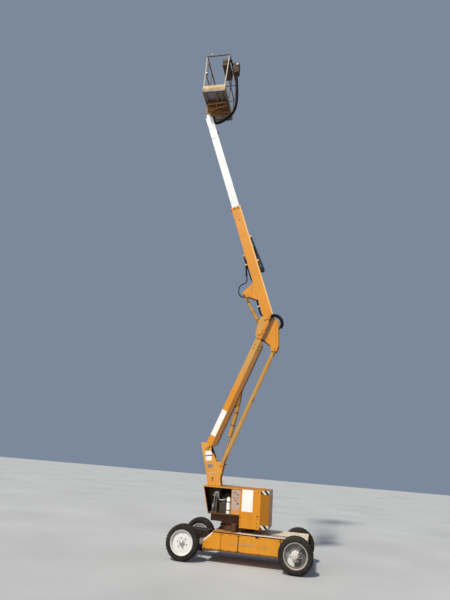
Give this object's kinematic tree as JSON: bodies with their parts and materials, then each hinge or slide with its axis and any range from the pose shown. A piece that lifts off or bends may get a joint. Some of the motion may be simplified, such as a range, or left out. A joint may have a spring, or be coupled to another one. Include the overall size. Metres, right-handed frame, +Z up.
{
  "type": "articulating boom lift",
  "caption": "Self-propelled articulating boom lift: steerable four-wheel chassis, slewing turntable, folding lower boom, telescopic upper boom and level work cage.",
  "frame": {"origin": "on the ground, half way between the axles and on the centre plane", "axes": "+X towards the drive end, away from the cage; +Y to the machine's right side; +Z up"},
  "size_m": [2.9568, 1.5, 12.0319],
  "materials": {
    "orange": "satin machine paint",
    "shade_orange": "dull machine paint",
    "white_paint": "satin paint",
    "rim_white": "satin paint, scuffed",
    "tyre": "dusty rubber",
    "steel": "bare steel",
    "chrome": "polished rod",
    "dark_metal": "oily dark metal",
    "grey_paint": "matt grey paint",
    "pale_plastic": "matt",
    "black_plastic": "matt",
    "hose": "matt"
  },
  "bodies": {
    "chassis": {"chassis_frame": "orange", "chassis_deck": "orange", "slew_pedestal": "shade_orange", "steer_axle": "dark_metal", "drive_axle": "dark_metal"},
    "steer_left": {"steer_knuckle_left": "dark_metal"},
    "steer_right": {"steer_knuckle_right": "dark_metal"},
    "track_rod": {"track_rod": "steel"},
    "wheel_front_left": {"tyre_front_left": "tyre", "rim_front_left": "rim_white"},
    "wheel_front_right": {"tyre_front_right": "tyre", "rim_front_right": "rim_white"},
    "wheel_rear_left": {"tyre_rear_left": "tyre", "rim_rear_left": "rim_white"},
    "wheel_rear_right": {"tyre_rear_right": "tyre", "rim_rear_right": "rim_white"},
    "turntable": {"turntable_bed": "shade_orange", "slew_motor": "grey_paint", "compartment_shell": "orange", "tail_box": "orange", "pump_set": "steel", "valve_block": "steel", "oil_tank": "dark_metal", "filter_canister": "pale_plastic", "control_panel": "grey_paint", "post": "orange"},
    "side_door": {"side_door": "orange"},
    "lower_boom": {"lower_boom": "orange"},
    "tie_bars": {"tie_bars": "orange"},
    "lift_barrel": {"lift_barrel": "orange"},
    "lift_rod": {"lift_rod": "chrome"},
    "knuckle": {"boom_knuckle": "orange", "hose_knuckle": "hose"},
    "upper_barrel": {"upper_barrel": "orange"},
    "upper_rod": {"upper_rod": "chrome"},
    "upper_boom": {"upper_boom": "orange", "hose_chain": "black_plastic", "hose_boom": "hose"},
    "tele_boom": {"tele_boom": "white_paint"},
    "cage": {"cage_mount": "orange", "cage_floor": "grey_paint", "cage_toe_board": "orange", "cage_frame": "orange", "cage_control_box": "shade_orange", "cage_junction_box": "black_plastic", "cage_hoses": "hose"},
    "gate_bar": {"cage_gate_bar": "orange"}
  },
  "joints": [
    {"name": "steer_left_turn", "type": "hinge", "parent": "chassis", "child": "steer_left", "pos_m": [-1, -0.58, 0.3], "axis": [0, 0, 1], "range_deg": [-35, 35]},
    {"name": "steer_right_turn", "type": "hinge", "parent": "chassis", "child": "steer_right", "pos_m": [-1, 0.58, 0.3], "axis": [0, 0, 1], "range_deg": [-35.01, 35.01]},
    {"name": "track_rod_shift", "type": "slide", "parent": "chassis", "child": "track_rod", "axis": [0, 1, 0], "range_m": [-0.0734, 0.0734]},
    {"name": "front_left_spin", "type": "hinge", "parent": "steer_left", "child": "wheel_front_left", "pos_m": [-1, -0.645, 0.3], "axis": [0, 1, 0], "continuous": true},
    {"name": "front_right_spin", "type": "hinge", "parent": "steer_right", "child": "wheel_front_right", "pos_m": [-1, 0.645, 0.3], "axis": [0, 1, 0], "continuous": true},
    {"name": "rear_left_spin", "type": "hinge", "parent": "chassis", "child": "wheel_rear_left", "pos_m": [1, -0.645, 0.3], "axis": [0, 1, 0], "continuous": true},
    {"name": "rear_right_spin", "type": "hinge", "parent": "chassis", "child": "wheel_rear_right", "pos_m": [1, 0.645, 0.3], "axis": [0, 1, 0], "continuous": true},
    {"name": "slew", "type": "hinge", "parent": "chassis", "child": "turntable", "pos_m": [-0.15, 0, 0.64], "axis": [0, 0, 1], "range_deg": [-177.5, 177.5]},
    {"name": "side_door_swing", "type": "hinge", "parent": "turntable", "child": "side_door", "pos_m": [-0.2153, 0.444, 0.812], "axis": [0, 0, 1], "range_deg": [-110, 0]},
    {"name": "lower_boom_lift", "type": "hinge", "parent": "turntable", "child": "lower_boom", "pos_m": [-0.85, 0, 1.95], "axis": [0, -1, 0], "range_deg": [-68.2, 0]},
    {"name": "tie_turn", "type": "hinge", "parent": "turntable", "child": "tie_bars", "pos_m": [-0.52, 0, 1.64], "axis": [0, -1, 0], "range_deg": [-68.21, 0.01]},
    {"name": "knuckle_level", "type": "hinge", "parent": "lower_boom", "child": "knuckle", "pos_m": [0.1059, 0, 4.33992], "axis": [0, -1, 0], "range_deg": [-0.01, 68.21]},
    {"name": "lift_barrel_turn", "type": "hinge", "parent": "lower_boom", "child": "lift_barrel", "pos_m": [-0.25487, 0, 2.88592], "axis": [0, -1, 0], "range_deg": [-1.93, 0.01]},
    {"name": "lift_rod_slide", "type": "slide", "parent": "lift_barrel", "child": "lift_rod", "axis": [-0.2081, 0, -0.9781], "range_m": [-0.5067, 0.0001]},
    {"name": "upper_boom_lift", "type": "hinge", "parent": "knuckle", "child": "upper_boom", "pos_m": [0.2129, 0, 4.67992], "axis": [0, 1, 0], "range_deg": [-67.7, 0]},
    {"name": "upper_barrel_turn", "type": "hinge", "parent": "knuckle", "child": "upper_barrel", "pos_m": [0.1759, 0, 4.43992], "axis": [0, 1, 0], "range_deg": [-61.02, 0.01]},
    {"name": "upper_rod_slide", "type": "slide", "parent": "upper_barrel", "child": "upper_rod", "axis": [-0.4872, 0, 0.8733], "range_m": [-0.2521, 0.0001]},
    {"name": "tele_slide", "type": "slide", "parent": "upper_boom", "child": "tele_boom", "axis": [-0.3123, 0, 0.95], "range_m": [-2.3, 0]},
    {"name": "cage_level", "type": "hinge", "parent": "tele_boom", "child": "cage", "pos_m": [-1.60685, 0, 10.50286], "axis": [0, 1, 0], "range_deg": [-0.01, 67.71]},
    {"name": "gate_bar_drop", "type": "hinge", "parent": "cage", "child": "gate_bar", "pos_m": [-1.59685, -0.494, 11.41286], "axis": [0, 1, 0], "range_deg": [0, 90]}
  ],
  "couplings": [
    {"joint": "steer_right_turn", "follows": "steer_left_turn", "ratio": 1},
    {"joint": "track_rod_shift", "follows": "steer_left_turn", "m_per_rad": 0.12},
    {"joint": "tie_turn", "follows": "lower_boom_lift", "ratio": 1},
    {"joint": "knuckle_level", "follows": "lower_boom_lift", "ratio": -1},
    {"joint": "lift_barrel_turn", "follows": "lower_boom_lift", "ratio": 0.028162},
    {"joint": "lift_rod_slide", "follows": "lower_boom_lift", "m_per_rad": 0.4256},
    {"joint": "upper_barrel_turn", "follows": "upper_boom_lift", "ratio": 0.90115},
    {"joint": "upper_rod_slide", "follows": "upper_boom_lift", "m_per_rad": 0.21327},
    {"joint": "cage_level", "follows": "upper_boom_lift", "ratio": -1}
  ]
}
